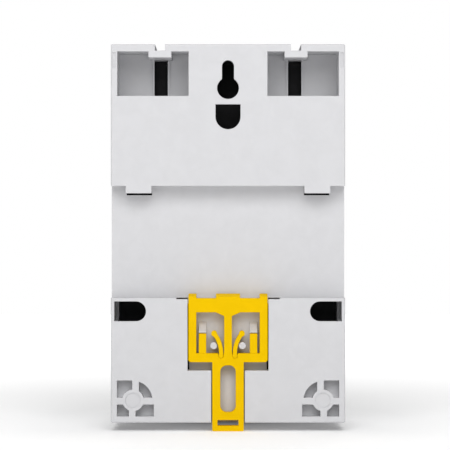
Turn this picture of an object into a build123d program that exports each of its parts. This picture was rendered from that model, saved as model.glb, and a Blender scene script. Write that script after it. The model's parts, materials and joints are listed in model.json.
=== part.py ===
"""Four-pole DIN rail contactor, built as an assembly of separate pieces.

Frame, in millimetres: X runs along the rail, +Z is up, and -Y points back to the rail and the wall.
The origin is the centre of the rail seat, on the plane that the rail's front face rests against.
Each function returns one sub-part in its place. NODES at the end names them and writes one STEP each.
"""

from build123d import *
import os

# --- Case: driving dimensions -------------------------------------------------------------------
CASE_HALF = 37.0  # half the width, along the rail
CASE_TOP = 62.5
CASE_BOTTOM = -57.1
WALL = 2.0
INNER_HALF = CASE_HALF - WALL
INNER_TOP = CASE_TOP - WALL
INNER_BOTTOM = CASE_BOTTOM + WALL
BACK = -6.0  # rear face, which lies on the wall
INNER_BACK = BACK + WALL
SEAM = 20.0  # joint between rear base and terminal housing
SHOULDER = 44.0  # front of the terminal shoulders
NOSE_FRONT = 62.0
NOSE_HALF = 22.4  # the nose passes a 45 mm panel cut-out
RAIL_HALF = 17.7  # half the height of the rail channel, for a 35 mm rail
EDGE_ROUND = 0.5
SEAM_CHAMFER = 0.3

# --- Poles and terminals ------------------------------------------------------------------------
POLE_PITCH = 17.5
POLES = [POLE_PITCH * (i - 1.5) for i in range(4)]
TERMINAL_INSET = 11.0  # terminal screw to the outer end of the case
LINE_Z = CASE_TOP - TERMINAL_INSET
LOAD_Z = CASE_BOTTOM + TERMINAL_INSET
CLAMP_HALF_X = 6.6
CLAMP_HALF_Z = 5.5
CLAMP_BACK = 24.0
CLAMP_FRONT = 38.1
CLAMP_SHEET = 1.6
WIRE_Y = 29.3
WIRE_ENTRY_R = 4.2
SCREW_ACCESS_R = 4.1
COIL_TERMINAL_X = POLE_PITCH
COIL_TERMINAL_Z = 32.5
COIL_WIRE_Y = 38.6
COIL_WIRE_R = 1.4
COIL_ACCESS_R = 2.5

# --- Magnet and contacts ------------------------------------------------------------------------
TRAVEL = 4.9  # armature and contact carrier
CONTACT_GAP = 3.5
CORE_HALF_X = 21.0
CORE_HALF_Z = 7.5
CORE_BACK = 4.6
CORE_FACE = 25.6
ARMATURE_BACK = CORE_FACE + TRAVEL + 0.1
ARMATURE_FRONT = ARMATURE_BACK + 6.0
DECK_BACK = 33.0
DECK_FRONT = 36.0
DECK_TOP = 38.3
DECK_BOTTOM = -33.0
BAR_BACK = 38.0
BAR_FRONT = 40.0
BAR_HALF_X = 4.5
TIP_Z = (7.0, 12.5)
TIP_HALF_X = 2.75
TIP_THICK = 1.2
BRIDGE_BACK = BAR_FRONT + TIP_THICK + CONTACT_GAP + TIP_THICK
BRIDGE_FRONT = BRIDGE_BACK + 2.0
BRIDGE_HALF_X = 3.5
BRIDGE_HALF_Z = 13.0
CARRIER_HALF_X = 33.0
CARRIER_HALF_Z = 4.5
CARRIER_FRONT = 56.5
CHAMBER_HALF_X = 7.2
WINDOW_FRONT = 54.6
SPRING_X = 29.0
POST_FRONT = 24.0
SPRING_SEAT = 40.0
TRAY_BACK = 8.0
TRAY_FRONT = 10.0

# --- Rail latch ---------------------------------------------------------------------------------
LATCH_HALF = 12.5
LATCH_TOP = -17.8
LATCH_BASE = -38.0
LATCH_HOOK_TOP = -16.4
LATCH_TIP = -59.8
LATCH_FACE = -5.7
LATCH_STEM_HALF = 5.0
RECESS_FLOOR = -1.0
RECESS_HALF = 12.8
RECESS_BOTTOM = -40.6
STEM_SLOT_HALF = 5.3
WING_HALF = 16.1
WING_TOP = -19.5
WING_MOUTH_BACK = -5.2
WING_MOUTH_NOTCH = 0.35  # the mouth of the wing slots also shows at the back
RELIEF_WIDTH = 0.5  # slits through the recess floor, beside the latch and under the wing mouths
RELIEF_TOP = -33.5
WINDOW_TOP = -22.25
WINDOW_BOTTOM = -35.2
WINDOW_IN = 1.25
WINDOW_OUT = 10.0
ARM_X = (6.88, 9.25)
ARM_TIP = -28.95
PEG_X = 4.51
PEG_Z = -32.8
PEG_R = 1.12
FINGER_ROOT = (2.2, -35.9)
FINGER_BEND = (2.45, -32.8)
FINGER_TIP = (4.4, -28.95)
FINGER_WIDTH = 1.35
FINGER_ROOT_R = 0.8
FINGER_TIP_R = 0.92
FIT = 0.05  # radial clearance of a pin in its bore

# --- Terminal covers ----------------------------------------------------------------------------
HINGE_Y = 46.4
HINGE_INSET = 2.8  # hinge axis beyond the nose wall
HINGE_Z = NOSE_HALF + HINGE_INSET
BARREL_R = 1.9
TRUNNION_R = 1.15
COVER_HALF = 34.9
COVER_BACK = 44.3
COVER_FRONT = 46.1
COVER_RIM = 0.8
COVER_RIM_WIDTH = 1.4


# --- Shape helpers ------------------------------------------------------------------------------
def slab(x, y, z):
    """A box between two values on each axis."""
    size = [abs(b - a) for a, b in (x, y, z)]
    centre = [(a + b) / 2 for a, b in (x, y, z)]
    return Pos(*centre) * Box(*size)


def both(x, y, z):
    """The box and its mirror image on the other side of X = 0."""
    return slab(x, y, z) + slab((-x[1], -x[0]), y, z)


def rod_y(x, z, radius, y0, y1):
    """A cylinder along Y."""
    return Pos(x, (y0 + y1) / 2, z) * Rot(90, 0, 0) * Cylinder(radius, y1 - y0)


def rod_x(y, z, radius, x0, x1):
    """A cylinder along X."""
    return Pos((x0 + x1) / 2, y, z) * Rot(0, 90, 0) * Cylinder(radius, x1 - x0)


def rod_z(x, y, radius, z0, z1):
    """A cylinder along Z."""
    return Pos(x, y, (z0 + z1) / 2) * Cylinder(radius, z1 - z0)


def prism_y(face, y0, y1):
    """A sketch drawn in X and Z, filled from y0 to y1."""
    return extrude(Plane((0, y1, 0), x_dir=(1, 0, 0), z_dir=(0, -1, 0)) * face, y1 - y0)


def prism_x(face, x0, x1):
    """A sketch drawn in Y and Z, filled from x0 to x1."""
    return extrude(Plane((x0, 0, 0), x_dir=(0, 1, 0), z_dir=(1, 0, 0)) * face, x1 - x0)


def outline(*points):
    """A closed straight-sided face."""
    return make_face(Polyline(*points, close=True))


def mirrored(shape):
    """The shape reflected in the plane X = 0."""
    return mirror(shape, about=Plane.YZ)


def pair(shape):
    """The shape and its reflection."""
    return shape + mirrored(shape)


def flipped(shape):
    """The shape reflected in the plane Z = 0."""
    return mirror(shape, about=Plane.XY)


def edges_along(shape, axis, low, high):
    """Edges parallel to an axis whose centres lie in a box."""
    found = []
    for edge in shape.edges().filter_by(axis):
        centre = edge.center()
        if all(a <= c <= b for a, c, b in zip(low, centre, high)):
            found.append(edge)
    return found


def coil_spring(x, z, y0, y1, radius, wire, turns):
    """A round-wire spring along Y, with open ends held inside y0 and y1."""
    height = y1 - y0 - wire
    path = Helix(pitch=height / turns, height=height, radius=radius)
    section = Plane(path @ 0, z_dir=path % 0) * Circle(wire / 2)
    return Pos(x, y0 + wire / 2, z) * Rot(-90, 0, 0) * sweep(section, path=path, is_frenet=True)


def recess_cross(x, z, y_front, size, depth):
    """The cross cut of a screw head, opening at y_front."""
    across = slab((x - size, x + size), (y_front - depth, y_front), (z - size / 4, z + size / 4))
    upright = slab((x - size / 4, x + size / 4), (y_front - depth, y_front), (z - size, z + size))
    return across + upright


def cap_screw(x, z, shank_r, head_r, y_tip, y_head, y_top):
    """A screw along Y whose head faces the front."""
    head = rod_y(x, z, head_r, y_head, y_top)
    head = chamfer(head.edges().filter_by(GeomType.CIRCLE).group_by(Axis.Y)[-1], 0.3)
    shank = rod_y(x, z, shank_r, y_tip, y_head)
    slot = recess_cross(x, z, y_top, head_r * 0.6, (y_top - y_head) * 0.55)
    return head + shank - slot


# --- Rear base ----------------------------------------------------------------------------------
POCKET_X = (12.45, 35.0)
POCKET_Z = (46.1, 60.2)
POCKET_FLOOR = 8.5
POCKET_SKIN = 1.5
GROOVE_X = 21.5
GROOVE_HALF = 1.6
GROOVE_BOTTOM = 60.4
CORNER_MARK_X = (35.55, 36.45)  # shallow mark beside each upper pocket
CORNER_MARK_Z = (55.0, 59.8)
BRIDGE_RIB_HALF = 3.62
BRIDGE_RIB_BOTTOM = 58.3
SLOT_HALF = 2.15
SLOT_RIM = 0.55
KEYHOLE_Z = 48.6
KEYHOLE_R = 3.45
KEYHOLE_NECK_HALF = 1.9
KEYHOLE_TOP = 57.4
ARCH_HALF = 3.95
ARCH_TOP = 43.5
ARCH_BOTTOM = 35.6
HOOK_X = (24.15, 32.3)
HOOK_TIP = 15.4
HOOK_INNER = -1.5
HOOK_WINDOW_BOTTOM = 14.85
FIX_SLOT_X = (25.9, 35.95)
FIX_SLOT_Z = (-25.05, -18.75)
CORNER_X = (23.4, 35.1)
CORNER_Z = (-55.1, -43.7)
CORNER_FLOOR = -2.0
BOSS_X = 30.0
BOSS_Z = -50.0
BOSS_R = 3.4
BOSS_DISC_R = 2.4
BOSS_ARC_R = 6.15
TOP_BOSS = (31.0, 40.0, 3.2)
RIB_TOP_X = (28.15, 30.25)
RIB_LOW_X = (29.2, 31.3)
RIB_Z = (-51.3, -49.15)
PILOT_R = 1.25


def rear_shell():
    """The open tray of the base: outer block, rail channel and hollow inside."""
    shell = slab((-CASE_HALF, CASE_HALF), (BACK, SEAM), (CASE_BOTTOM, CASE_TOP))
    front = shell.faces().sort_by(Axis.Y)[-1]
    rounded = [e for e in shell.edges() if all(abs(v.Y - front.center().Y) > 1 for v in e.vertices())]
    uprights = shell.edges().filter_by(Axis.Y)
    shell = fillet(list(uprights) + [e for e in rounded if e not in uprights], EDGE_ROUND)
    shell = chamfer(shell.faces().sort_by(Axis.Y)[-1].outer_wire().edges(), SEAM_CHAMFER)
    shell -= slab((-40, 40), (BACK - 1, 0), (-RAIL_HALF, RAIL_HALF))
    step = RAIL_HALF + WALL
    shell -= slab((-INNER_HALF, INNER_HALF), (WALL, SEAM + 1), (INNER_BOTTOM, INNER_TOP))
    shell -= slab((-INNER_HALF, INNER_HALF), (INNER_BACK, WALL), (step, INNER_TOP))
    return shell - slab((-INNER_HALF, INNER_HALF), (INNER_BACK, WALL), (INNER_BOTTOM, -step))


def top_pocket():
    """Walls and void of the right upper pocket, with the groove and its rib."""
    rib_x = (GROOVE_X - BRIDGE_RIB_HALF, GROOVE_X + BRIDGE_RIB_HALF)
    walls = slab(
        (POCKET_X[0] - POCKET_SKIN, INNER_HALF),
        (INNER_BACK, POCKET_FLOOR + POCKET_SKIN),
        (POCKET_Z[0] - POCKET_SKIN, INNER_TOP),
    )
    rib_inside = slab(rib_x, (POCKET_FLOOR, SEAM), (BRIDGE_RIB_BOTTOM, INNER_TOP))
    void = slab(POCKET_X, (BACK - 1, POCKET_FLOOR), POCKET_Z)
    void -= slab(rib_x, (BACK - 1, POCKET_FLOOR), (BRIDGE_RIB_BOTTOM, CASE_TOP))
    rim = SLOT_HALF + SLOT_RIM
    void -= slab((GROOVE_X - rim, GROOVE_X + rim), (POCKET_FLOOR - 0.7, POCKET_FLOOR), POCKET_Z)
    slot = slab(
        (GROOVE_X - SLOT_HALF, GROOVE_X + SLOT_HALF),
        (POCKET_FLOOR - 1, POCKET_FLOOR + POCKET_SKIN + 1),
        (POCKET_Z[0], BRIDGE_RIB_BOTTOM),
    )
    groove = slab(
        (GROOVE_X - GROOVE_HALF, GROOVE_X + GROOVE_HALF), (BACK - 1, SEAM + 1), (GROOVE_BOTTOM, CASE_TOP + 1)
    )
    mark = slab(CORNER_MARK_X, (BACK - 1, BACK + 0.3), CORNER_MARK_Z)
    return walls + rib_inside, void + slot + groove + mark


def hanging_holes():
    """Keyhole and arch-shaped opening through the upper back wall."""
    wall = (BACK - 1, INNER_BACK + 1)
    head = rod_y(0, KEYHOLE_Z, KEYHOLE_R, *wall)
    neck_top = KEYHOLE_TOP - KEYHOLE_NECK_HALF
    neck = slab((-KEYHOLE_NECK_HALF, KEYHOLE_NECK_HALF), wall, (KEYHOLE_Z, neck_top))
    neck += rod_y(0, neck_top, KEYHOLE_NECK_HALF, *wall)
    arch_centre = ARCH_BOTTOM + ARCH_HALF
    arch = rod_y(0, arch_centre, ARCH_HALF, *wall)
    arch += slab((-ARCH_HALF, ARCH_HALF), wall, (arch_centre, ARCH_TOP))
    return head + neck + arch


def corner_pocket():
    """Walls, void and boss of the right lower corner."""
    skin = 1.2
    walls = slab(
        (CORNER_X[0] - skin, INNER_HALF + 0.5),
        (INNER_BACK, CORNER_FLOOR + skin),
        (INNER_BOTTOM, CORNER_Z[1] + skin),
    )
    walls += rod_y(BOSS_X, BOSS_Z, BOSS_R, INNER_BACK, TRAY_BACK)
    span = (BACK - 1, CORNER_FLOOR)
    void = slab(CORNER_X, span, CORNER_Z)
    quarter = slab((CORNER_X[0], RIB_TOP_X[0]), span, (RIB_Z[1], CORNER_Z[1]))
    void -= quarter - rod_y(BOSS_X, BOSS_Z, BOSS_ARC_R, *span)
    void -= rod_y(BOSS_X, BOSS_Z, BOSS_R, *span)
    void -= slab(RIB_TOP_X, span, (BOSS_Z, CORNER_Z[1]))
    void -= slab(RIB_LOW_X, span, (CORNER_Z[0], BOSS_Z))
    void -= slab(CORNER_X, span, RIB_Z)
    disc = rod_y(BOSS_X, BOSS_Z, BOSS_DISC_R, BACK - 1, BACK + 0.3)
    pilot = rod_y(BOSS_X, BOSS_Z, PILOT_R, 0, TRAY_BACK + 1)
    return walls, void + disc + pilot


def latch_housing():
    """Material and void of the recess that the rail latch slides in."""
    outer_half = WING_HALF + 2.0
    block = slab((-outer_half, outer_half), (INNER_BACK, 1.0), (RECESS_BOTTOM - 1.8, -RAIL_HALF))
    stem_half = STEM_SLOT_HALF + 1.8
    block += slab((-stem_half, stem_half), (INNER_BACK, 1.0), (INNER_BOTTOM, RECESS_BOTTOM))
    void = slab((-RECESS_HALF, RECESS_HALF), (BACK - 1, RECESS_FLOOR), (RECESS_BOTTOM, -RAIL_HALF + 0.1))
    wing = WING_HALF + 0.25
    void += slab((-wing, wing), (-3.3, RECESS_FLOOR), (RECESS_BOTTOM, -RAIL_HALF + 0.1))
    void += slab((-wing, wing), (WING_MOUTH_BACK, RECESS_FLOOR), (WING_TOP, -RAIL_HALF + 0.1))
    void += slab((-wing, wing), (BACK - 1, RECESS_FLOOR), (-RAIL_HALF - WING_MOUTH_NOTCH, -RAIL_HALF + 0.1))
    stem_slot = (-STEM_SLOT_HALF, STEM_SLOT_HALF)
    void += slab(stem_slot, (BACK - 1, RECESS_FLOOR), (CASE_BOTTOM - 1, RECESS_BOTTOM))
    relief_y = (RECESS_FLOOR - 0.1, 1.1)
    void += both((RECESS_HALF - RELIEF_WIDTH, RECESS_HALF), relief_y, (RECESS_BOTTOM, RELIEF_TOP))
    mouth_z = (-RAIL_HALF - WING_MOUTH_NOTCH - 0.2, -RAIL_HALF - 0.05)
    void += both((RECESS_HALF, wing), relief_y, mouth_z)
    ramp_top = ARM_TIP + 3.65
    ramp_foot = ARM_TIP + 0.2
    ramp = prism_x(
        outline((RECESS_FLOOR + 0.5, ramp_top), (RECESS_FLOOR, ramp_top), (-4.4, ramp_foot + 0.6),
                (-4.4, ramp_foot), (RECESS_FLOOR + 0.5, ramp_foot)),
        *ARM_X,
    )
    peg = rod_y(PEG_X, PEG_Z, PEG_R, -4.6, RECESS_FLOOR + 0.5)
    return block, void, pair(ramp + peg)


def rear_base():
    """Light grey rear moulding with the rail channel, hooks, pockets and wall fixings."""
    base = rear_shell()
    walls, void = top_pocket()
    corner_walls, corner_void = corner_pocket()
    block, latch_void, guides = latch_housing()
    base += pair(walls) + pair(corner_walls) + block
    base += pair(rod_y(TOP_BOSS[0], TOP_BOSS[1], TOP_BOSS[2], INNER_BACK, TRAY_BACK))
    base += pair(prism_x(
        outline((BACK, RAIL_HALF), (BACK, HOOK_TIP), (BACK + 3.1, HOOK_TIP), (HOOK_INNER, HOOK_TIP + 1.1),
                (HOOK_INNER, RAIL_HALF)),
        *HOOK_X,
    ))
    base -= pair(void) + pair(corner_void) + latch_void + hanging_holes()
    base -= pair(rod_y(TOP_BOSS[0], TOP_BOSS[1], PILOT_R, 0, TRAY_BACK + 1))
    base -= both(HOOK_X, (-0.1, WALL + 1), (HOOK_WINDOW_BOTTOM, RAIL_HALF))
    slot_r = (FIX_SLOT_Z[1] - FIX_SLOT_Z[0]) / 2
    slot_centre = (FIX_SLOT_X[0] + slot_r, (FIX_SLOT_Z[0] + FIX_SLOT_Z[1]) / 2)
    slot = rod_y(slot_centre[0], slot_centre[1], slot_r, BACK - 1, 7)
    slot += slab((slot_centre[0], FIX_SLOT_X[1]), (BACK - 1, 7), FIX_SLOT_Z)
    base -= pair(slot)
    base += guides
    for z in (-30.0, 30.0):
        base -= both((INNER_HALF - 1, CASE_HALF + 1), (SEAM - 6.5, SEAM - 3.5), (z - 5, z + 5))
    return base


# --- Terminal housing and front cover -----------------------------------------------------------
PARTITION_HALF = 0.75
COIL_PARTITION_HALF = 1.95  # thick enough to hold a coil wire hole
PARTITION_TOP = 42.0
SNAP_NIB = 0.9
VENT_COUNT = 5
VENT_START = 28.0
VENT_PITCH = 3.0
VENT_WIDTH = 1.4
VENT_HALF = 11.0


def shoulder_block(top):
    """Partitions and chamber floor behind one shoulder; top is True for the line side."""
    inner_end = INNER_TOP if top else -INNER_BOTTOM
    start = 43.5 if top else 38.1
    floor = slab((-INNER_HALF, INNER_HALF), (SEAM, SEAM + WALL), (start, inner_end))
    for x in (-POLE_PITCH, 0.0, POLE_PITCH):
        wide = COIL_PARTITION_HALF if top and x else PARTITION_HALF
        floor += slab((x - PARTITION_HALF, x + PARTITION_HALF), (SEAM, 35), (start, inner_end))
        floor += slab((x - wide, x + wide), (35, PARTITION_TOP), (start, inner_end))
    return floor if top else flipped(floor)


def hinge_ears():
    """Ears that carry the trunnions of one terminal cover, on the line side."""
    ear = slab((COVER_HALF + 0.2, CASE_HALF), (SHOULDER - 1, HINGE_Y), (HINGE_Z - 2.0, HINGE_Z + 2.0))
    ear += rod_x(HINGE_Y, HINGE_Z, 2.0, COVER_HALF + 0.2, CASE_HALF)
    ear -= rod_x(HINGE_Y, HINGE_Z, TRUNNION_R + FIT, COVER_HALF - 1, CASE_HALF + 1)
    return pair(ear)


def terminal_housing():
    """Light grey middle moulding with the terminal shoulders, wire entries and screw holes."""
    body = slab((-CASE_HALF, CASE_HALF), (SEAM, SHOULDER), (CASE_BOTTOM, CASE_TOP))
    body = fillet(body.edges().filter_by(Axis.Y), EDGE_ROUND)
    body = fillet(body.faces().sort_by(Axis.Y)[-1].outer_wire().edges(), 0.8)
    body = chamfer(body.faces().sort_by(Axis.Y)[0].outer_wire().edges(), SEAM_CHAMFER)
    body -= slab((-INNER_HALF, INNER_HALF), (SEAM - 1, SHOULDER - WALL), (INNER_BOTTOM, INNER_TOP))
    body -= slab((-INNER_HALF, INNER_HALF), (SEAM, SHOULDER + 1), (-NOSE_HALF + WALL, NOSE_HALF - WALL))
    body += shoulder_block(True) + shoulder_block(False)
    ears = hinge_ears()
    body += ears + flipped(ears)
    for x in POLES:
        body -= rod_z(x, WIRE_Y, WIRE_ENTRY_R, INNER_TOP - 1, CASE_TOP + 1)
        body -= rod_z(x, WIRE_Y, WIRE_ENTRY_R, CASE_BOTTOM - 1, INNER_BOTTOM + 1)
        body -= rod_z(x, WIRE_Y, WIRE_ENTRY_R + 0.8, CASE_TOP - 0.6, CASE_TOP + 1)
        body -= rod_z(x, WIRE_Y, WIRE_ENTRY_R + 0.8, CASE_BOTTOM - 1, CASE_BOTTOM + 0.6)
        for z in (LINE_Z, LOAD_Z):
            body -= rod_y(x, z, SCREW_ACCESS_R, 41, SHOULDER + 1)
            body -= rod_y(x, z, 6.3, SHOULDER - 0.5, SHOULDER + 1) - rod_y(x, z, 5.1, 40, SHOULDER + 2)
    for x in (-COIL_TERMINAL_X, COIL_TERMINAL_X):
        body -= rod_z(x, COIL_WIRE_Y, COIL_WIRE_R, INNER_TOP - 1, CASE_TOP + 1)
        body -= rod_z(x, COIL_WIRE_Y, COIL_WIRE_R + 0.2, 43, INNER_TOP)
        body -= rod_z(x, COIL_WIRE_Y, COIL_WIRE_R + 0.6, CASE_TOP - 0.6, CASE_TOP + 1)
        body -= rod_y(x, COIL_TERMINAL_Z, COIL_ACCESS_R, 41, SHOULDER + 1)
    return body + snap_tongues() - side_vents()


def snap_tongues():
    """Four tongues with nibs that click into the windows of the rear base."""
    tongue = slab((INNER_HALF - 1.3, INNER_HALF - 0.1), (SEAM - 8, SEAM), (25.5, 34.5))
    root = slab((INNER_HALF - 1.3, INNER_HALF + 0.5), (SEAM, SEAM + 3), (25.5, 34.5))
    nib = prism_x(outline((SEAM - 6.3, 26), (SEAM - 3.6, 26), (SEAM - 3.6, 34), (SEAM - 6.3, 34)),
                  INNER_HALF - 0.5, INNER_HALF - 0.1 + SNAP_NIB)
    one = pair(tongue + root + nib)
    return one + flipped(one)


def side_vents():
    """Upright exhaust slots through both side walls, beside the arc chambers."""
    vents = None
    for i in range(VENT_COUNT):
        y = VENT_START + VENT_PITCH * i
        wall = (INNER_HALF - 0.5, CASE_HALF + 0.5)
        slot = both(wall, (y, y + VENT_WIDTH), (-VENT_HALF, VENT_HALF))
        vents = slot if vents is None else vents + slot
    return vents


LABEL_X = 22.0
LABEL_Z = (8.4, 18.4)
LABEL_DEPTH = 0.6
CAP_HALF = (6.0, 3.2)
CAP_PLAY = 0.3
PANE_RIM = 1.6
PANE_SEAT = 61.4
SELECTOR_Z = -12.5
SELECTOR_TRAVEL = 4.5
LENS_X = 28.5
LENS_R = 2.1
SLIT_COUNT = 6
SLIT_PITCH = 3.0


def front_cover():
    """Light grey nose with the label recess, indicator window, selector slot and lamp hole."""
    nose = slab((-CASE_HALF, CASE_HALF), (SHOULDER, NOSE_FRONT), (-NOSE_HALF, NOSE_HALF))
    nose = fillet(nose.edges().filter_by(Axis.Y), EDGE_ROUND)
    nose = fillet(nose.faces().sort_by(Axis.Y)[-1].outer_wire().edges(), 1.2)
    nose = chamfer(nose.faces().sort_by(Axis.Y)[0].outer_wire().edges(), SEAM_CHAMFER)
    inner_z = NOSE_HALF - WALL
    nose -= slab((-INNER_HALF, INNER_HALF), (SHOULDER - 1, NOSE_FRONT - WALL), (-inner_z, inner_z))
    for z in ((inner_z - 1.3, inner_z - 0.1), (-inner_z + 0.1, -inner_z + 1.3)):
        nose += slab((-33, 33), (SHOULDER - 2.4, SHOULDER + 2), z)
    for z in ((inner_z - 1.3, inner_z), (-inner_z, -inner_z + 1.3)):
        nose += slab((-33, 33), (SHOULDER + 0.2, SHOULDER + 2), z)
    nose -= slab((-LABEL_X, LABEL_X), (NOSE_FRONT - LABEL_DEPTH, NOSE_FRONT + 1), LABEL_Z)
    for grow, back in ((CAP_PLAY, NOSE_FRONT - 3), (PANE_RIM, PANE_SEAT)):
        half_x = CAP_HALF[0] + grow
        half_z = CAP_HALF[1] + grow
        nose -= slab((-half_x, half_x), (back, NOSE_FRONT + 1), (-half_z, half_z))
    knob_half = 3.2 + SELECTOR_TRAVEL
    nose -= slab((-knob_half - 3.0, knob_half + 3.0), (61.0, 63), (SELECTOR_Z - 3.6, SELECTOR_Z + 3.6))
    neck_half = 1.7 + SELECTOR_TRAVEL
    nose -= slab((-neck_half, neck_half), (59, 63), (SELECTOR_Z - 1.2, SELECTOR_Z + 1.2))
    nose -= rod_y(LENS_X, 0, LENS_R + FIT, 59, 63)
    for i in range(SLIT_COUNT):
        z = SLIT_PITCH * (i - (SLIT_COUNT - 1) / 2)
        nose -= both((CASE_HALF - 0.6, CASE_HALF + 1), (50, 58), (z - 0.6, z + 0.6))
    return nose


def label_plate():
    """Blank rating plate in the front recess."""
    plate = slab((-LABEL_X + 0.15, LABEL_X - 0.15), (NOSE_FRONT - LABEL_DEPTH, NOSE_FRONT - 0.1),
                 (LABEL_Z[0] + 0.15, LABEL_Z[1] - 0.15))
    return fillet(plate.edges().filter_by(Axis.Y), 0.6)


def status_lens():
    """Domed lamp lens beside the indicator."""
    lens = rod_y(LENS_X, 0, LENS_R, 59.0, 62.8)
    lens = fillet(lens.edges().filter_by(GeomType.CIRCLE).group_by(Axis.Y)[-1], 0.7)
    return lens + rod_y(LENS_X, 0, LENS_R + 0.9, 58.6, 59.95)


def mode_selector():
    """Three-position slide: a plate behind the cover, a neck through the slot and a ribbed knob."""
    plate = slab((-7.5, 7.5), (57.6, 59.8), (SELECTOR_Z - 2.4, SELECTOR_Z + 2.4))
    neck = slab((-1.5, 1.5), (59.8, 61.3), (SELECTOR_Z - 1.0, SELECTOR_Z + 1.0))
    knob = slab((-3.2, 3.2), (61.3, 64.4), (SELECTOR_Z - 3.1, SELECTOR_Z + 3.1))
    knob = fillet(knob.edges().filter_by(Axis.Y), 0.7)
    knob = fillet(knob.faces().sort_by(Axis.Y)[-1].outer_wire().edges(), 0.4)
    for x in (-1.6, 0.0, 1.6):
        knob -= slab((x - 0.3, x + 0.3), (63.8, 65), (SELECTOR_Z - 4, SELECTOR_Z + 4))
    return plate + neck + knob


def terminal_cover(case_end):
    """Clear flip cover reaching to the end of the case, drawn on the line side."""
    end = case_end - 0.7
    plate = slab((-COVER_HALF, COVER_HALF), (COVER_BACK, COVER_FRONT), (HINGE_Z, end))
    plate = fillet(edges_along(plate, Axis.Y, (-40, 0, end - 1), (40, 60, end + 1)), 1.5)
    rim_half = COVER_HALF - 0.4
    rim = slab((-rim_half, rim_half), (COVER_FRONT, COVER_FRONT + COVER_RIM), (HINGE_Z + 2.5, end - 0.4))
    rim_half -= COVER_RIM_WIDTH
    rim -= slab((-rim_half, rim_half), (COVER_FRONT - 1, COVER_FRONT + 2),
                (HINGE_Z + 2.5 + COVER_RIM_WIDTH, end - 0.4 - COVER_RIM_WIDTH))
    tab = slab((-7, 7), (COVER_BACK + 0.3, COVER_FRONT), (end - 1, end + 2.4))
    tab = fillet(edges_along(tab, Axis.Y, (-8, 0, end + 2), (8, 60, end + 3)), 1.2)
    cover = plate + rim + tab + rod_x(HINGE_Y, HINGE_Z, BARREL_R, -COVER_HALF, COVER_HALF)
    cover += rod_x(HINGE_Y, HINGE_Z, TRUNNION_R, -COVER_HALF - 1.6, COVER_HALF + 1.6)
    for x in (-30.0, 30.0):
        cover -= rod_y(x, end - 4.5, 1.0, COVER_BACK - 1, COVER_FRONT + 2)
    for i in range(3):
        groove = end + 0.2 + 0.7 * i
        cover -= slab((-5, 5), (COVER_FRONT - 0.3, COVER_FRONT + 1), (groove, groove + 0.3))
    return cover


# --- Rail latch ---------------------------------------------------------------------------------
def rail_latch():
    """Yellow slide that grips the lower edge of the rail and is pulled down to let it go."""
    body = prism_y(outline((-LATCH_HALF, LATCH_TOP), (LATCH_HALF, LATCH_TOP), (LATCH_HALF, LATCH_BASE),
                           (-LATCH_HALF, LATCH_BASE)), LATCH_FACE, -1.2)
    body = fillet(edges_along(body, Axis.Y, (-13, -9, LATCH_BASE - 1), (13, 9, LATCH_BASE + 1)), 0.9)
    stem = slab((-LATCH_STEM_HALF, LATCH_STEM_HALF), (LATCH_FACE, -2.2), (LATCH_TIP, LATCH_BASE + 1))
    stem = fillet(edges_along(stem, Axis.Y, (-6, -9, LATCH_TIP - 1), (6, 9, LATCH_TIP + 1)), 0.5)
    hook_side = outline((-1.3, LATCH_TOP - 1), (-1.3, LATCH_HOOK_TOP), (-3.2, LATCH_HOOK_TOP),
                        (LATCH_FACE, LATCH_TOP + 0.5), (LATCH_FACE, LATCH_TOP - 1))
    hooks = prism_x(hook_side, -3.8, 3.8) + pair(prism_x(hook_side, 10.0, LATCH_HALF))
    wings = both((LATCH_HALF - 1, WING_HALF), (-3.15, -1.2), (-37.5, WING_TOP))
    window = outline((WINDOW_IN, -23.4), (3.9, WINDOW_TOP), (WINDOW_OUT, WINDOW_TOP),
                     (WINDOW_OUT, WINDOW_BOTTOM), (WINDOW_IN, WINDOW_BOTTOM))
    window = prism_y(window, LATCH_FACE - 1, 0)
    arm = slab(ARM_X, (-5.5, -2.6), (WINDOW_BOTTOM - 1, ARM_TIP))
    arm = fillet(edges_along(arm, Axis.X, (0, -6, ARM_TIP - 0.1), (10, -5, ARM_TIP + 0.1)), 0.5)
    socket = rod_y(FINGER_ROOT[0], FINGER_ROOT[1], FINGER_ROOT_R + FIT, LATCH_FACE - 1, 0)
    throat_half = FINGER_ROOT_R + FIT
    throat = slab((FINGER_ROOT[0] - throat_half, FINGER_ROOT[0] + throat_half), (LATCH_FACE - 1, 0),
                  (FINGER_ROOT[1], WINDOW_BOTTOM))
    long_window = prism_y(Pos(0, -46.4) * RectangleRounded(4.8, 14.8, 2.0), LATCH_FACE - 1, 0)
    blade_slot = slab((-3.3, 3.3), (LATCH_FACE - 1, 0), (-58.05, -56.25))
    latch = body + stem + hooks + wings - pair(window) + pair(arm)
    return latch - pair(socket + throat) - long_window - blade_slot


def latch_finger_right():
    """Springy finger moulded on the latch; it leans on the peg and pushes the latch up."""
    line = ThreePointArc(FINGER_ROOT, FINGER_BEND, FINGER_TIP)
    strip = trace(line, line_width=FINGER_WIDTH)
    face = strip + Pos(*FINGER_TIP) * Circle(FINGER_TIP_R) + Pos(*FINGER_ROOT) * Circle(FINGER_ROOT_R)
    return prism_y(face, LATCH_FACE + 0.1, -2.4)


def latch_finger_left():
    """Mirror image of the right finger."""
    return mirrored(latch_finger_right())


# --- Inner frame and magnet ---------------------------------------------------------------------
TUB_HALF_X = 22.0
TUB_HALF_Z = 17.8
TUB_WALL = 1.5
RIB_HALF = 0.75
SHELF_Z = 43.3  # where the plate steps forward to clear the upper pockets
SHELF_BACK = 11.5
DECK_SCREWS = [(0.0, 34.0), (-POLE_PITCH, -28.6), (POLE_PITCH, -28.6)]


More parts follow.
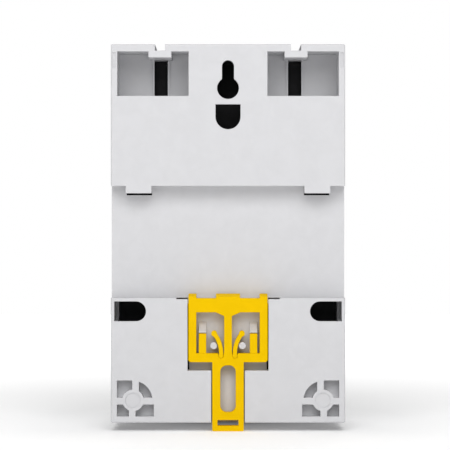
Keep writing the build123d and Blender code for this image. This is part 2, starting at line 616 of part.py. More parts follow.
def inner_frame():
    """Black chassis: a plate across the base, a tub round the magnet, and posts for the deck."""
    across = (-34.8, 34.8)
    plate = slab(across, (TRAY_BACK, TRAY_FRONT), (-54.9, SHELF_Z + 1.2))
    plate += slab(across, (TRAY_BACK, SHELF_BACK + 2), (SHELF_Z, SHELF_Z + 1.2))
    plate += slab(across, (SHELF_BACK, SHELF_BACK + 2), (SHELF_Z, 58.0))
    outer_x = TUB_HALF_X + TUB_WALL
    outer_z = TUB_HALF_Z + TUB_WALL
    tub = slab((-outer_x, outer_x), (2.2, DECK_BACK), (-outer_z, outer_z))
    frame = plate + tub + pair(rod_y(SPRING_X, 0, 3.4, TRAY_FRONT - 1, POST_FRONT))
    for x, z in DECK_SCREWS:
        frame += rod_y(x, z, 3.0, TRAY_FRONT - 1, DECK_BACK)
    frame -= slab((-TUB_HALF_X, TUB_HALF_X), (3.4, DECK_BACK + 1), (-TUB_HALF_Z, TUB_HALF_Z))
    for x, z in DECK_SCREWS:
        frame -= rod_y(x, z, PILOT_R, DECK_BACK - 9, DECK_BACK + 1)
    for x, z in ((BOSS_X, BOSS_Z), (TOP_BOSS[0], TOP_BOSS[1])):
        frame -= pair(rod_y(x, z, 1.7, TRAY_BACK - 1, TRAY_FRONT + 1))
    frame -= both((15.6, 19.6), (28.6, DECK_BACK + 1), (TUB_HALF_Z - 1, outer_z + 1))
    return frame


def frame_screws():
    """Four screws that hold the inner frame on the bosses of the rear base."""
    screws = None
    for x, z in ((BOSS_X, BOSS_Z), (TOP_BOSS[0], TOP_BOSS[1])):
        one = pair(cap_screw(x, z, PILOT_R - 0.02, 2.6, 1.0, TRAY_FRONT, TRAY_FRONT + 1.8))
        screws = one if screws is None else screws + one
    return screws


def core_pad():
    """Rubber pad that cushions the fixed core."""
    return slab((-20, 20), (3.4, CORE_BACK), (-7, 7))


def ring_shape(grow):
    """Copper loop round half of the right pole face; grow makes the groove that holds it."""
    x, z = (16.0 - grow, 20.0 + grow), (-6.0 - grow, 2.0 + grow)
    ring = slab(x, (24.2 - grow, 25.4 + grow), z)
    inset = 1 + 2 * grow
    return ring - slab((x[0] + inset, x[1] - inset), (20, 30), (z[0] + inset, z[1] - inset))


def fixed_core():
    """Laminated E-shaped core."""
    core = slab((-CORE_HALF_X, CORE_HALF_X), (CORE_BACK, CORE_FACE), (-CORE_HALF_Z, CORE_HALF_Z))
    core -= both((6.0, 15.0), (CORE_BACK + 6, CORE_FACE + 1), (-9, 9))
    core -= slab((-6, 6), (CORE_FACE - 0.2, CORE_FACE + 1), (-9, 9))
    groove = ring_shape(0.05) + slab((16.2, 16.8), (25, 26), (-5.5, 1.5))
    core -= pair(groove)
    for x in (-18.0, 0.0, 18.0):
        core -= rod_z(x, CORE_BACK + 3, 1.3, -CORE_HALF_Z, -CORE_HALF_Z + 0.5)
        core -= rod_z(x, CORE_BACK + 3, 1.3, CORE_HALF_Z - 0.5, CORE_HALF_Z)
    return core


def shading_rings():
    """The two copper loops that stop the magnet from buzzing."""
    return pair(ring_shape(0.0))


def coil_bobbin():
    """Bobbin on the centre leg, with lugs for the coil strips."""
    tube = slab((-7.3, 7.3), (10.9, 24.6), (-8.8, 8.8))
    flanges = slab((-14.7, 14.7), (10.9, 12.0), (-17.2, 17.2))
    flanges += slab((-14.7, 14.7), (23.4, 24.6), (-17.2, 17.2))
    lugs = both((14.0, 19.4), (23.4, 24.6), (11.5, 17.2))
    return tube + flanges + lugs - slab((-6.3, 6.3), (9, 26), (-7.8, 7.8))


def coil_winding():
    """Enamelled copper winding with a taped outside."""
    winding = slab((-14.0, 14.0), (12.1, 23.3), (-16.4, 16.4))
    winding = fillet(winding.edges().filter_by(Axis.Y), 3.5)
    return winding - slab((-7.4, 7.4), (11, 25), (-8.9, 8.9))


def coil_terminal(sign):
    """Clamp block for one coil wire and the strip that runs from it to the bobbin."""
    x, z = sign * COIL_TERMINAL_X, COIL_TERMINAL_Z
    block = slab((x - 3, x + 3), (DECK_FRONT + 0.05, 41.0), (z - 3.5, z + 3.5))
    block -= rod_z(x, COIL_WIRE_Y, COIL_WIRE_R + 0.2, z - 1.5, z + 4)
    block -= rod_y(x, z, 1.3 + FIT, COIL_WIRE_Y, 42)
    strip = prism_x(
        outline((36.05, 29.2), (36.85, 29.2), (36.85, 26.4), (29.6, 26.4), (29.6, 14.0), (24.65, 14.0),
                (24.65, 14.8), (28.8, 14.8), (28.8, 27.2), (36.05, 27.2)),
        x - 1.5, x + 1.5,
    )
    return block + strip


def coil_terminal_screws():
    """Two small clamp screws for the coil wires."""
    return pair(cap_screw(COIL_TERMINAL_X, COIL_TERMINAL_Z, 1.3, 2.2, COIL_WIRE_Y + 0.9, 41.0, 41.95))


def armature():
    """Laminated moving core that the coil pulls in."""
    plate = slab((-CORE_HALF_X, CORE_HALF_X), (ARMATURE_BACK, ARMATURE_FRONT), (-CORE_HALF_Z, CORE_HALF_Z))
    yoke = slab((-4.0, 4.0), (ARMATURE_FRONT, ARMATURE_FRONT + 4.0), (-1.5, 1.5))
    return plate + yoke - rod_x(ARMATURE_FRONT + 2.2, 0, 1.0 + FIT, -5, 5)


def armature_pin():
    """Cross pin that ties the armature to the carrier."""
    return rod_x(ARMATURE_FRONT + 2.2, 0, 1.0, -9.5, 9.5)


# --- Contact system -----------------------------------------------------------------------------
def contact_deck():
    """Black deck under the fixed contacts, with ribs between the poles."""
    deck = slab((-34.4, 34.4), (DECK_BACK, DECK_FRONT), (DECK_BOTTOM, DECK_TOP))
    for z in ((6.0, 27.0), (-25.4, -6.0)):
        for x in (-POLE_PITCH, 0.0, POLE_PITCH):
            stop = min(z[1], 24.0) if x else z[1]
            deck += slab((x - RIB_HALF, x + RIB_HALF), (DECK_FRONT, 41.4), (z[0], stop))
        deck += both((33.4, 34.4), (DECK_FRONT, 41.4), z)
        for x in POLES:
            rest = (10.0, 24.0) if z[0] > 0 else (-24.0, -10.0)
            deck += slab((x - BAR_HALF_X, x + BAR_HALF_X), (DECK_FRONT, BAR_BACK), rest)
    deck -= slab((-21.6, 21.6), (DECK_BACK - 1, DECK_FRONT + 1), (-8.3, 8.3))
    deck -= pair(rod_y(SPRING_X, 0, 4.4, DECK_BACK - 1, DECK_FRONT + 1))
    deck -= both((15.7, 19.3), (DECK_BACK - 1, DECK_FRONT + 1), (26.0, 27.6))
    for x, z in DECK_SCREWS:
        deck -= rod_y(x, z, 1.7, DECK_BACK - 1, DECK_FRONT + 1)
    return deck


def deck_screws():
    """Three screws through the deck into the posts of the inner frame."""
    screws = None
    for x, z in DECK_SCREWS:
        one = cap_screw(x, z, PILOT_R - 0.02, 2.6, 26.0, DECK_FRONT, DECK_FRONT + 1.8)
        screws = one if screws is None else screws + one
    return screws


def fixed_contact(x, line_side):
    """Bent copper bar from the clamp to the contact tip; drawn for +Z and turned over for the load side."""
    clamp = LINE_Z if line_side else -LOAD_Z
    bend = clamp - 9.0
    end = clamp + 5.2
    side = outline((BAR_FRONT, 7.0), (BAR_FRONT, bend - 4.1), (35.0, bend + 0.4), (35.0, end),
                   (33.0, end), (33.0, bend - 0.4), (BAR_BACK, bend - 4.9), (BAR_BACK, 7.0))
    bar = prism_x(side, x - BAR_HALF_X, x + BAR_HALF_X)
    bar = fillet(edges_along(bar, Axis.Y, (-99, 30, end - 1), (99, 37, end + 1)), 1.0)
    return bar if line_side else flipped(bar)


def fixed_contact_tips():
    """Silver tips on the fixed contacts."""
    tips = None
    for x in POLES:
        one = slab((x - TIP_HALF_X, x + TIP_HALF_X), (BAR_FRONT, BAR_FRONT + TIP_THICK), TIP_Z)
        both_ends = one + flipped(one)
        tips = both_ends if tips is None else tips + both_ends
    return tips


def contact_bridge(x):
    """Copper bridge of one pole."""
    length = (-BRIDGE_HALF_Z, BRIDGE_HALF_Z)
    bar = slab((x - BRIDGE_HALF_X, x + BRIDGE_HALF_X), (BRIDGE_BACK, BRIDGE_FRONT), length)
    bar = fillet(bar.edges().filter_by(Axis.Y), 1.2)
    return bar + rod_y(x, 0, 1.2, BRIDGE_FRONT, BRIDGE_FRONT + 1.0)


def bridge_tips():
    """Silver tips on the bridges."""
    tips = None
    for x in POLES:
        one = slab((x - TIP_HALF_X, x + TIP_HALF_X), (BRIDGE_BACK - TIP_THICK, BRIDGE_BACK), TIP_Z)
        both_ends = one + flipped(one)
        tips = both_ends if tips is None else tips + both_ends
    return tips


def contact_carrier():
    """Moving beam with one window for each bridge and a foot pinned to the armature."""
    height = (-CARRIER_HALF_Z, CARRIER_HALF_Z)
    beam = slab((-CARRIER_HALF_X, CARRIER_HALF_X), (BRIDGE_BACK - 2.4, CARRIER_FRONT), height)
    foot = slab((-14, 14), (ARMATURE_FRONT + 0.05, BRIDGE_BACK - 2), height)
    foot -= slab((-4.2, 4.2), (ARMATURE_FRONT - 1, ARMATURE_FRONT + 4.1), (-1.6, 1.6))
    foot -= rod_x(ARMATURE_FRONT + 2.2, 0, 1.0 + FIT, -9.6, 9.6)
    seats = both((26.0, 32.0), (SPRING_SEAT, BRIDGE_BACK - 2), (-3.0, 3.0))
    carrier = beam + foot + seats
    window_half = BRIDGE_HALF_X + 0.3
    for x in POLES:
        carrier -= slab((x - window_half, x + window_half), (BRIDGE_BACK, WINDOW_FRONT), (-6, 6))
    return carrier


def indicator_cap():
    """Coloured cap on the carrier that shows through the front window."""
    cap = slab((-CAP_HALF[0], CAP_HALF[0]), (CARRIER_FRONT, NOSE_FRONT - 0.9), (-CAP_HALF[1], CAP_HALF[1]))
    cap = fillet(cap.edges().filter_by(Axis.Y), 0.6)
    return cap - slab((-4.5, 4.5), (NOSE_FRONT - 1.3, NOSE_FRONT), (-0.4, 0.4))


def contact_spring(x):
    """Spring that presses one bridge down on the fixed contacts."""
    return coil_spring(x, 0, BRIDGE_FRONT + 0.02, WINDOW_FRONT - 0.02, 2.1, 0.7, 4.5)


def return_spring(sign):
    """Spring that pushes the carrier back when the coil lets go."""
    return coil_spring(sign * SPRING_X, 0, POST_FRONT + 0.02, SPRING_SEAT - 0.02, 2.7, 0.8, 7)


def arc_chamber_cover():
    """Black box over the contacts, with one chamber for each pole."""
    box = slab((-34.8, 34.8), (41.6, 56.0), (-18.9, 18.9))
    for x in POLES:
        box -= slab((x - CHAMBER_HALF_X, x + CHAMBER_HALF_X), (41, 54.5), (-17.6, 17.6))
    box -= slab((-33.3, 33.3), (41, 57), (-4.9, 4.9))
    return box


def arc_plates(line_side):
    """Steel splitter plates at one end of every chamber."""
    plates = None
    for x in POLES:
        for i in range(5):
            y = 42.8 + 2.2 * i
            one = slab((x - 6.9, x + 6.9), (y, y + 1.0), (13.6, 17.5))
            one -= slab((x - 1.6, x + 1.6), (y - 1, y + 2), (13, 15.2))
            plates = one if plates is None else plates + one
    return plates if line_side else flipped(plates)


# --- Power terminals ----------------------------------------------------------------------------
def wire_clamp(x, z):
    """Steel box clamp that lifts the wire against the bar."""
    height = (z - CLAMP_HALF_Z, z + CLAMP_HALF_Z)
    outer = slab((x - CLAMP_HALF_X, x + CLAMP_HALF_X), (CLAMP_BACK, CLAMP_FRONT), height)
    outer = fillet(outer.edges().filter_by(Axis.Z), 0.8)
    inner = slab((x - CLAMP_HALF_X + CLAMP_SHEET, x + CLAMP_HALF_X - CLAMP_SHEET),
                 (CLAMP_BACK + CLAMP_SHEET, 35.5), (z - 9, z + 9))
    return outer - inner - rod_y(x, z, 2.9 + FIT, 34, 40)


def clamp_screws(z):
    """Four cross-head clamp screws in one row."""
    screws = None
    for x in POLES:
        one = cap_screw(x, z, 2.9, 3.8, 35.1, CLAMP_FRONT + 0.4, 41.6)
        screws = one if screws is None else screws + one
    return screws


# --- Assembly -----------------------------------------------------------------------------------
NODES = {
    "rear_base": rear_base(),
    "terminal_housing": terminal_housing(),
    "front_cover": front_cover(),
    "label_plate": label_plate(),
    "status_lens": status_lens(),
    "mode_selector": mode_selector(),
    "line_terminal_cover": terminal_cover(CASE_TOP),
    "load_terminal_cover": flipped(terminal_cover(-CASE_BOTTOM)),
    "rail_latch": rail_latch(),
    "latch_finger_left": latch_finger_left(),
    "latch_finger_right": latch_finger_right(),
    "inner_frame": inner_frame(),
    "frame_screws": frame_screws(),
    "core_pad": core_pad(),
    "fixed_core": fixed_core(),
    "shading_rings": shading_rings(),
    "coil_bobbin": coil_bobbin(),
    "coil_winding": coil_winding(),
    "coil_terminal_a1": coil_terminal(-1),
    "coil_terminal_a2": coil_terminal(1),
    "coil_terminal_screws": coil_terminal_screws(),
    "armature": armature(),
    "armature_pin": armature_pin(),
    "contact_deck": contact_deck(),
    "deck_screws": deck_screws(),
    "fixed_contact_tips": fixed_contact_tips(),
    "bridge_tips": bridge_tips(),
    "contact_carrier": contact_carrier(),
    "indicator_cap": indicator_cap(),
    "return_spring_left": return_spring(-1),
    "return_spring_right": return_spring(1),
    "arc_chamber_cover": arc_chamber_cover(),
    "arc_plates_line": arc_plates(True),
    "arc_plates_load": arc_plates(False),
    "line_clamp_screws": clamp_screws(LINE_Z),
    "load_clamp_screws": clamp_screws(LOAD_Z),
}
for number, pole_x in enumerate(POLES, start=1):
    NODES[f"contact_bridge_{number}"] = contact_bridge(pole_x)
    NODES[f"contact_spring_{number}"] = contact_spring(pole_x)
    NODES[f"line_contact_{number}"] = fixed_contact(pole_x, True)
    NODES[f"load_contact_{number}"] = fixed_contact(pole_x, False)
    NODES[f"line_clamp_{number}"] = wire_clamp(pole_x, LINE_Z)
    NODES[f"load_clamp_{number}"] = wire_clamp(pole_x, LOAD_Z)

os.makedirs("parts", exist_ok=True)
for name, shape in NODES.items():
    export_step(shape, f"parts/{name}.step")
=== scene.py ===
"""Looks of the four-pole DIN rail contactor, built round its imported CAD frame. All lengths are metres."""

import json
import math

import bmesh
import bpy
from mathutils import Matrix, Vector


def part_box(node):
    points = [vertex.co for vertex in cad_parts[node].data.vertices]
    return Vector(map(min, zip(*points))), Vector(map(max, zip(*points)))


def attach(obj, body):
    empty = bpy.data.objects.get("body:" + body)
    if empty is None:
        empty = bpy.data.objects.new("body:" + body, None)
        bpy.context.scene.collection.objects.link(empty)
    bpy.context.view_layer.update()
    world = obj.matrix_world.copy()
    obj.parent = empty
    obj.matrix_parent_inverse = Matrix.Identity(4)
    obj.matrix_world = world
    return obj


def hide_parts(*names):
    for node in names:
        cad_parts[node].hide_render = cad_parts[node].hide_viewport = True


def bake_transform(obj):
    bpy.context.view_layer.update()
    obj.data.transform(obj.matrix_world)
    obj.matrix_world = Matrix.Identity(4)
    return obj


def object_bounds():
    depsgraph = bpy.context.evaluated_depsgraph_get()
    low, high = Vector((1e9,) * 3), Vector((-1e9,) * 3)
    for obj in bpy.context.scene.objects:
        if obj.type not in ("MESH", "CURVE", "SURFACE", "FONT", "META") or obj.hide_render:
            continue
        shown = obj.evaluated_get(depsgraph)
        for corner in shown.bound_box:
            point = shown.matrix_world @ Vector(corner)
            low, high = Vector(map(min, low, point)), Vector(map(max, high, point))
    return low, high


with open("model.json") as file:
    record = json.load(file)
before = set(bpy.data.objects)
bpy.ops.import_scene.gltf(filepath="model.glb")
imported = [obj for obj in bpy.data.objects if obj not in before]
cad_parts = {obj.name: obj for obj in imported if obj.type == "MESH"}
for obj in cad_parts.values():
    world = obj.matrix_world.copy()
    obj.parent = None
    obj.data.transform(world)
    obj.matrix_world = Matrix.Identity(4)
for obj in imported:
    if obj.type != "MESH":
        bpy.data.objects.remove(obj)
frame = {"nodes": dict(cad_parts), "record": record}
cad_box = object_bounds()

MM = 0.001
NODES = frame["nodes"]
CASE_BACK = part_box("rear_base")[0].y
POLES = [sum(c.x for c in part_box(f"contact_bridge_{i}")) / 2 for i in range(1, 5)]


# --- Node trees ---------------------------------------------------------------------------------
class Look:
    """One material under construction: its tree, its shader and its object coordinates."""

    def __init__(self, name):
        self.material = bpy.data.materials.new(name)
        self.material.use_nodes = True
        self.tree = self.material.node_tree
        self.shader = self.tree.nodes["Principled BSDF"]
        self.place = self.tree.nodes.new("ShaderNodeTexCoord").outputs["Object"]

    def node(self, kind, links=(), **settings):
        made = self.tree.nodes.new(kind)
        for key, value in settings.items():
            setattr(made, key, value)
        for socket, source in links:
            self.tree.links.new(source, made.inputs[socket])
        return made

    def stretched(self, scale):
        """Object coordinates squeezed along each axis, for streaks and brush marks."""
        mapping = self.node("ShaderNodeMapping", [("Vector", self.place)])
        mapping.inputs["Scale"].default_value = scale
        return mapping.outputs["Vector"]

    def noise(self, scale, detail=3.0, place=None, distortion=0.0):
        made = self.node("ShaderNodeTexNoise", [("Vector", place or self.place)])
        made.inputs["Scale"].default_value = scale
        made.inputs["Detail"].default_value = detail
        made.inputs["Distortion"].default_value = distortion
        return made.outputs["Fac"]

    def grains(self, scale):
        """Rounded cells, as the spark-eroded texture of a moulding tool leaves."""
        made = self.node("ShaderNodeTexVoronoi", [("Vector", self.place)], feature="SMOOTH_F1")
        made.inputs["Scale"].default_value = scale
        return made.outputs["Distance"]

    def between(self, factor, low, high, start=0.3, end=0.7):
        """A value from low to high as factor goes from start to end."""
        made = self.node("ShaderNodeMapRange", [("Value", factor)])
        made.inputs["From Min"].default_value = start
        made.inputs["From Max"].default_value = end
        made.inputs["To Min"].default_value = low
        made.inputs["To Max"].default_value = high
        return made.outputs["Result"]

    def blend(self, factor, *stops):
        """A colour ramp through (position, colour) stops."""
        ramp = self.node("ShaderNodeValToRGB", [("Fac", factor)]).color_ramp
        for element, (position, colour) in zip(ramp.elements, stops):
            element.position = position
            element.color = (*colour, 1.0)
        for position, colour in stops[2:]:
            ramp.elements.new(position).color = (*colour, 1.0)
        return self.tree.nodes[-1].outputs["Color"]

    def bump(self, height, distance, strength=1.0, under=None):
        links = [("Height", height)]
        if under is not None:
            links.append(("Normal", under))
        made = self.node("ShaderNodeBump", links)
        made.inputs["Distance"].default_value = distance
        made.inputs["Strength"].default_value = strength
        return made.outputs["Normal"]

    def soft_edges(self, radius):
        """Normals that turn over a small radius at every edge, as moulded edges do."""
        made = self.node("ShaderNodeBevel", samples=4)
        made.inputs["Radius"].default_value = radius
        return made.outputs["Normal"]

    def feed(self, socket, source):
        self.tree.links.new(source, self.shader.inputs[socket])

    def fixed(self, **values):
        for socket, value in values.items():
            self.shader.inputs[socket.replace("_", " ")].default_value = value


def shade(colour, factor):
    """The colour made lighter or darker."""
    return tuple(min(1.0, c * factor) for c in colour)


# --- Materials ----------------------------------------------------------------------------------
SOFT_EDGE = 0.12 * MM


def moulded(name, colour, rough=0.5, grain=5200.0, depth=0.012 * MM, mottle=0.02, shine=0.5):
    """Injection-moulded plastic: fine tool texture, faint flow mottle and slightly uneven gloss."""
    look = Look(name)
    clouds = look.noise(260.0, 4.0, distortion=0.6)
    darker, lighter = shade(colour, 1 - mottle), shade(colour, 1 + mottle)
    look.feed("Base Color", look.blend(clouds, (0.3, darker), (0.7, lighter)))
    look.feed("Roughness", look.between(look.noise(900.0, 2.0), rough - 0.05, rough + 0.06))
    fine = look.bump(look.grains(grain), depth, under=look.soft_edges(SOFT_EDGE))
    look.feed("Normal", look.bump(look.noise(70.0, 1.0), 0.05 * MM, 0.35, under=fine))
    look.fixed(IOR=1.5, Specular_IOR_Level=shine)
    return look.material


def polished_metal(name, colour, rough, brush=(1.0, 1.0, 30.0), tarnish=0.75):
    """Drawn or pressed metal with brush lines and patches of duller surface."""
    look = Look(name)
    lines = look.noise(1600.0, 3.0, place=look.stretched(brush))
    patches = look.noise(340.0, 4.0, distortion=1.2)
    look.feed("Base Color", look.blend(patches, (0.35, shade(colour, tarnish)), (0.7, colour)))
    look.feed("Roughness", look.between(lines, rough - 0.08, rough + 0.12))
    look.feed("Normal", look.bump(lines, 0.008 * MM))
    look.fixed(Metallic=1.0)
    return look.material


def laminated(name):
    """Stacked core sheets: fine lines across Z, with a thin film of rust-brown varnish."""
    look = Look(name)
    sheets = look.node("ShaderNodeTexWave", [("Vector", look.place)], bands_direction="Z", wave_profile="SAW")
    sheets.inputs["Scale"].default_value = 320.0
    sheets.inputs["Distortion"].default_value = 0.0
    varnish = look.noise(420.0, 4.0, distortion=0.8)
    look.feed("Base Color", look.blend(varnish, (0.3, (0.20, 0.17, 0.15)), (0.7, (0.42, 0.41, 0.40))))
    look.feed("Roughness", look.between(look.noise(1500.0), 0.35, 0.6))
    look.feed("Normal", look.bump(sheets.outputs["Fac"], 0.06 * MM))
    look.fixed(Metallic=0.85)
    return look.material


def enamelled_wire(name):
    """Copper wire under clear enamel."""
    look = Look(name)
    tone = look.noise(700.0, 3.0)
    look.feed("Base Color", look.blend(tone, (0.3, (0.42, 0.13, 0.04)), (0.7, (0.66, 0.25, 0.09))))
    look.feed("Roughness", look.between(look.noise(2400.0), 0.22, 0.36))
    look.feed("Normal", look.bump(tone, 0.01 * MM))
    look.fixed(Metallic=0.9, Coat_Weight=0.6, Coat_Roughness=0.12)
    return look.material


def clear_plastic(name, colour, rough=0.06, through=0.92, alpha=0.34):
    """Clear plastic with faint moulding waves. What alpha lacks to 1 lets light straight through."""
    look = Look(name)
    waves = look.noise(120.0, 2.0)
    look.feed("Base Color", look.blend(waves, (0.3, shade(colour, 0.97)), (0.7, colour)))
    look.feed("Roughness", look.between(look.noise(800.0), rough, rough + 0.05))
    look.feed("Normal", look.bump(waves, 0.02 * MM))
    look.fixed(IOR=1.585, Transmission_Weight=through, Alpha=alpha)
    return look.material


def printed(name, colour):
    """Screen-printed ink."""
    look = Look(name)
    dots = look.noise(5200.0, 2.0)
    look.feed("Base Color", look.blend(dots, (0.3, colour), (0.7, shade(colour, 1.4))))
    look.feed("Roughness", look.between(dots, 0.45, 0.6))
    look.feed("Normal", look.bump(dots, 0.004 * MM))
    return look.material


# Painted light and shadow: the floor glows by distance from the case, with no glow under it and a dip near 6
# cm, which paint its contact and side shadows.
PAINTED_SHADOW_CENTRE_Y = 0.045
PAINTED_FLOOR_GLOW = (  # distance from the point under the terminals, strength
    (0.012, 0.0),
    (0.020, 0.05),
    (0.029, 0.115),
    (0.043, 0.14),
    (0.060, 0.07),
    (0.11, 0.16),
    (0.22, 0.30),
    (0.45, 0.75),
)


def white_floor(name):
    """Matt white table that glows with painted light: no glow under the case and more with distance, so the
    far floor burns out to white and a painted shadow lies round the object.
    """
    look = Look(name)
    speckle = look.noise(40.0, 2.0)
    look.feed("Base Color", look.blend(speckle, (0.0, (0.95, 0.95, 0.95)), (1.0, (0.97, 0.97, 0.97))))
    look.feed("Roughness", look.between(speckle, 0.75, 0.85))
    reach = look.node("ShaderNodeVectorMath", [("Vector", look.place)], operation="DISTANCE")
    reach.inputs[1].default_value = (0, PAINTED_SHADOW_CENTRE_Y, cad_box[0].z)
    glow = look.node("ShaderNodeFloatCurve", [("Value", reach.outputs["Value"])])
    curve = glow.mapping.curves[0]
    curve.points[0].location = (0.0, 0.0)
    curve.points[1].location = (1.0, 1.0)
    for radius, value in PAINTED_FLOOR_GLOW:
        curve.points.new(radius, value)
    for point in curve.points:
        point.handle_type = "VECTOR"
    glow.mapping.update()
    # Painted light: emission by distance from the case, dim close to it as a painted shadow.
    look.feed("Emission Strength", glow.outputs["Value"])
    look.fixed(Specular_IOR_Level=0.1, Emission_Color=(1, 1, 1, 1))
    return look.material


CASE_GREY = moulded("case_grey", (0.56, 0.56, 0.575), rough=0.5)
LATCH_YELLOW = moulded(
    "latch_yellow", (0.765, 0.475, 0.0003), rough=0.5, grain=8000.0, mottle=0.025, shine=0.03
)
# The inner frame is a real part, but its near-black colour is painted shade: it stands in for the darkness
# seen through the slots and holes in the back.
FRAME_BLACK_PAINTED_SHADE = moulded("frame_black", (0.004, 0.004, 0.005), rough=0.6, shine=0.2)
CARRIER_BROWN = moulded("carrier_brown", (0.10, 0.055, 0.032), rough=0.55, mottle=0.15)
BOBBIN_WHITE = moulded("bobbin_white", (0.76, 0.74, 0.68), rough=0.45)
SELECTOR_BLACK = moulded("selector_black", (0.03, 0.03, 0.034), rough=0.4, grain=7000.0)
INDICATOR_RED = moulded("indicator_red", (0.60, 0.035, 0.025), rough=0.35, grain=8000.0)
LABEL_FILM = moulded("label_film", (0.82, 0.82, 0.80), rough=0.35, grain=9000.0, depth=0.004 * MM)
PAD_RUBBER = moulded("pad_rubber", (0.022, 0.022, 0.022), rough=0.8, grain=3000.0)
TAPE_YELLOW = moulded("tape_yellow", (0.72, 0.50, 0.12), rough=0.3, grain=2600.0, mottle=0.08)
PLATED_STEEL = polished_metal("plated_steel", (0.66, 0.66, 0.64), 0.34)
SPRING_STEEL = polished_metal("spring_steel", (0.55, 0.55, 0.56), 0.28)
COPPER = polished_metal("copper", (0.86, 0.44, 0.28), 0.3, tarnish=0.8)
SILVER = polished_metal("contact_silver", (0.86, 0.85, 0.82), 0.3)
CORE_STEEL = laminated("core_steel")
WIRE = enamelled_wire("winding_copper")
COVER_CLEAR = clear_plastic("cover_clear", (0.90, 0.93, 0.95))
PANE_CLEAR = clear_plastic("pane_clear", (0.97, 0.97, 0.97))
LENS_GREEN = clear_plastic("lens_green", (0.06, 0.60, 0.18), rough=0.1, through=0.7, alpha=1.0)
INK = printed("ink_grey", (0.05, 0.055, 0.06))

SLOT_LOOKS = {
    "case_grey": CASE_GREY,
    "latch_yellow": LATCH_YELLOW,
    "frame_black": FRAME_BLACK_PAINTED_SHADE,
    "carrier_brown": CARRIER_BROWN,
    "bobbin_white": BOBBIN_WHITE,
    "core_steel": CORE_STEEL,
    "plated_steel": PLATED_STEEL,
    "spring_steel": SPRING_STEEL,
    "copper": COPPER,
    "winding_copper": WIRE,
    "contact_silver": SILVER,
    "pad_rubber": PAD_RUBBER,
    "cover_clear": COVER_CLEAR,
    "label_white": LABEL_FILM,
    "lens_green": LENS_GREEN,
    "indicator_red": INDICATOR_RED,
    "selector_black": SELECTOR_BLACK,
}


# --- CAD nodes ----------------------------------------------------------------------------------
EDGE_BREAK = {
    "rail_latch": 0.12,
    "latch_finger_left": 0.10,
    "latch_finger_right": 0.10,
    "mode_selector": 0.10,
    "indicator_cap": 0.08,
}


def broken_edges(obj, width):
    """Welds the tessellation, merges its flat faces and rounds every hard edge a little."""
    weld = obj.modifiers.new("weld", "WELD")
    weld.merge_threshold = 0.001 * MM
    flat = obj.modifiers.new("flat", "DECIMATE")
    flat.decimate_type = "DISSOLVE"
    flat.angle_limit = math.radians(0.5)
    edge = obj.modifiers.new("edge", "BEVEL")
    edge.width = width
    edge.segments = 2
    edge.limit_method = "ANGLE"
    edge.angle_limit = math.radians(40)
    edge.use_clamp_overlap = False
    edge.miter_outer = "MITER_ARC"
    normals = obj.modifiers.new("normals", "WEIGHTED_NORMAL")
    normals.weight = 90


def dress(node, bevel):
    """Gives a CAD node its material and, where it shows, slightly broken edges."""
    obj = NODES[node]
    slot = next(s["material_slot"] for s in frame["record"]["subparts"] if s["node"] == node)
    obj.data.materials.clear()
    obj.data.materials.append(SLOT_LOOKS[slot])
    for face in obj.data.polygons:
        face.material_index = 0
    if bevel:
        for face in obj.data.polygons:
            face.use_smooth = True
        broken_edges(obj, bevel * MM)


for node_name in NODES:
    dress(node_name, EDGE_BREAK.get(node_name, 0.0))


# --- Mesh helpers -------------------------------------------------------------------------------
UP_Y = Vector((0, 1, 0))
INK_HEIGHT = 0.03 * MM


def finished(name, shape, look):
    """Turns a bmesh into an object with its material and slot."""
    bmesh.ops.recalc_face_normals(shape, faces=shape.faces)
    mesh = bpy.data.meshes.new(name)
    shape.to_mesh(mesh)
    shape.free()
    mesh.materials.append(look)
    obj = bpy.data.objects.new(name, mesh)
    bpy.context.scene.collection.objects.link(obj)
    return obj


def join_rings(shape, low, high, smooth):
    """A band of faces between two rings with the same number of vertices."""
    for k in range(len(low)):
        shape.faces.new((low[k - 1], low[k], high[k], high[k - 1])).smooth = smooth


def add_tube(shape, points, radius, sides=12, closed=False):
    """Round wire along the points, its section kept square to the Y axis."""
    rings = []
    for i, point in enumerate(points):
        before = points[i - 1] if closed or i else point
        after = points[(i + 1) % len(points)] if closed or i + 1 < len(points) else point
        side = (after - before).cross(UP_Y).normalized()
        rise = (after - before).cross(side).normalized()
        turns = [2 * math.pi * k / sides for k in range(sides)]
        section = [radius * (math.cos(t) * side + math.sin(t) * rise) for t in turns]
        rings.append([shape.verts.new(point + offset) for offset in section])
    for low, high in zip(rings, rings[1:]):
        join_rings(shape, low, high, True)
    if closed:
        join_rings(shape, rings[-1], rings[0], True)
    else:
        shape.faces.new(rings[0])
        shape.faces.new(rings[-1])


def loop(centre, half, radius, y, steps=6):
    """Points round a rectangle with rounded corners in X and Z, at height y."""
    points = []
    for quarter, (sx, sz) in enumerate(((1, 1), (-1, 1), (-1, -1), (1, -1))):
        for k in range(steps + 1):
            turn = math.pi / 2 * (quarter + k / steps)
            x = centre[0] + sx * (half[0] - radius) + radius * math.cos(turn)
            z = centre[1] + sz * (half[1] - radius) + radius * math.sin(turn)
            points.append(Vector((x, y, z)))
    return points


def add_stack(shape, loops, hollow=False):
    """Walls through the loops in turn; closed by two end faces, or back on itself when hollow."""
    rings = [[shape.verts.new(p) for p in points] for points in loops]
    for low, high in zip(rings, rings[1:]):
        join_rings(shape, low, high, False)
    if hollow:
        join_rings(shape, rings[-1], rings[0], False)
    else:
        shape.faces.new(rings[0])
        shape.faces.new(rings[-1])


def add_bar(shape, start, end, width, y):
    """A printed straight line between two points in X and Z."""
    a, b = Vector((start[0], 0, start[1])), Vector((end[0], 0, end[1]))
    side = (b - a).cross(UP_Y).normalized() * width / 2
    corners = (a - side, a + side, b + side, b - side)
    add_stack(shape, [[c + UP_Y * h for c in corners] for h in (y, y + INK_HEIGHT)])


